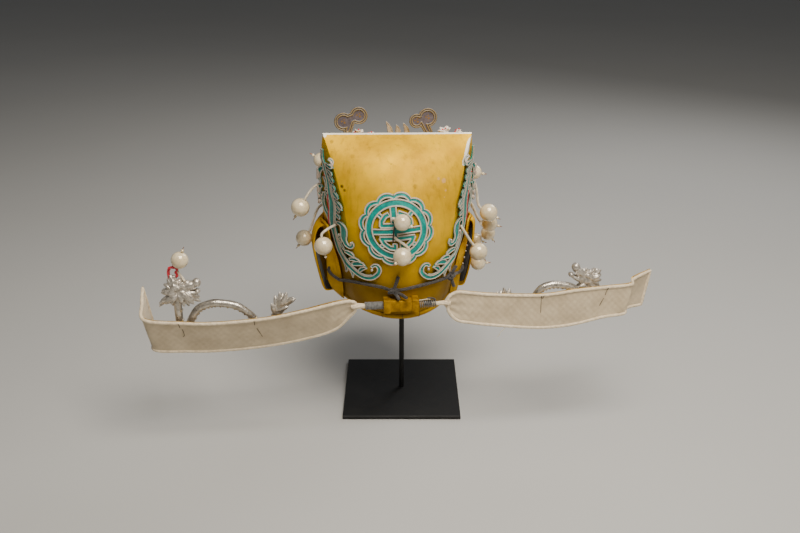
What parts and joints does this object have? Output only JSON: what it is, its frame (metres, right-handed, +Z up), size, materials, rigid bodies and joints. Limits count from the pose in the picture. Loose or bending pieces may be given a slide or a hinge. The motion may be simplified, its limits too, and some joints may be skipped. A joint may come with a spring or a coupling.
{
  "type": "chinese opera headdress on a display stand",
  "caption": "Chinese opera headdress: tall gold crown in a shell with cheek flaps, teal roundel and scrolls, sprung pearls, long cloth wings with dragons, on a rod stand.",
  "frame": {"origin": "centre of the underside of the stand's square plate", "axes": "+Z up; +Y towards the wearer's face side, so the picture looks along +Y at the back; +X to the right in the picture, along the wings"},
  "size_m": [0.5911, 0.2369, 0.3802],
  "materials": {
    "gold_card": "gold-yellow lacquer, semi-gloss, worn to white gesso on the ridge",
    "teal_trim": "teal paint inside raised silver outlines",
    "silver_paint": "warm silver foil paint, glossy",
    "wing_cloth": "cream and silver woven cloth, matte",
    "grey_cloth": "grey cloth, matte",
    "red_ribbon": "red ribbon, satin",
    "stand_steel": "black satin powder coat",
    "spring_steel": "dull steel, wound with grey thread",
    "pearl": "pearl lacquer",
    "stem_wrap": "cream thread wound on wire",
    "tie_cord": "dark grey twisted cotton",
    "blossom_white": "white silk petals"
  },
  "bodies": {
    "root": {"blossom_1": "blossom_white", "blossom_2": "blossom_white", "blossom_3": "blossom_white", "blossom_4": "blossom_white", "cheek_left": "gold_card", "cheek_right": "gold_card", "cord_left": "tie_cord", "cord_middle": "tie_cord", "cord_right": "tie_cord", "crest": "silver_paint", "crown": "gold_card", "curl_left": "silver_paint", "curl_right": "silver_paint", "dragon_left": "silver_paint", "dragon_right": "silver_paint", "front_fan": "gold_card", "knot_centre": "tie_cord", "knot_right": "tie_cord", "lining_left": "grey_cloth", "lining_right": "grey_cloth", "medallion": "teal_trim", "pearl_centre_1": "pearl", "pearl_centre_2": "pearl", "pearl_left_1": "pearl", "pearl_left_2": "pearl", "pearl_left_3": "pearl", "pearl_left_4": "pearl", "pearl_right_1": "pearl", "pearl_right_2": "pearl", "pearl_right_3": "pearl", "pearl_right_4": "pearl", "pearl_right_5": "pearl", "pearl_right_6": "pearl", "pearl_right_7": "pearl", "pearl_wing": "pearl", "ribbon": "red_ribbon", "rim_roll": "gold_card", "scroll_left": "teal_trim", "scroll_right": "teal_trim", "spring_left": "spring_steel", "spring_right": "spring_steel", "stand_plate": "stand_steel", "stand_rod": "stand_steel", "stem_centre_1": "stem_wrap", "stem_centre_2": "stem_wrap", "stem_left_1": "stem_wrap", "stem_left_2": "stem_wrap", "stem_left_3": "stem_wrap", "stem_left_4": "stem_wrap", "stem_right_1": "stem_wrap", "stem_right_2": "stem_wrap", "stem_right_3": "stem_wrap", "stem_right_4": "stem_wrap", "stem_right_5": "stem_wrap", "stem_right_6": "stem_wrap", "stem_right_7": "stem_wrap", "stem_wing": "stem_wrap", "wing_left": "wing_cloth", "wing_right": "wing_cloth", "wing_socket": "gold_card"}
  },
  "joints": []
}
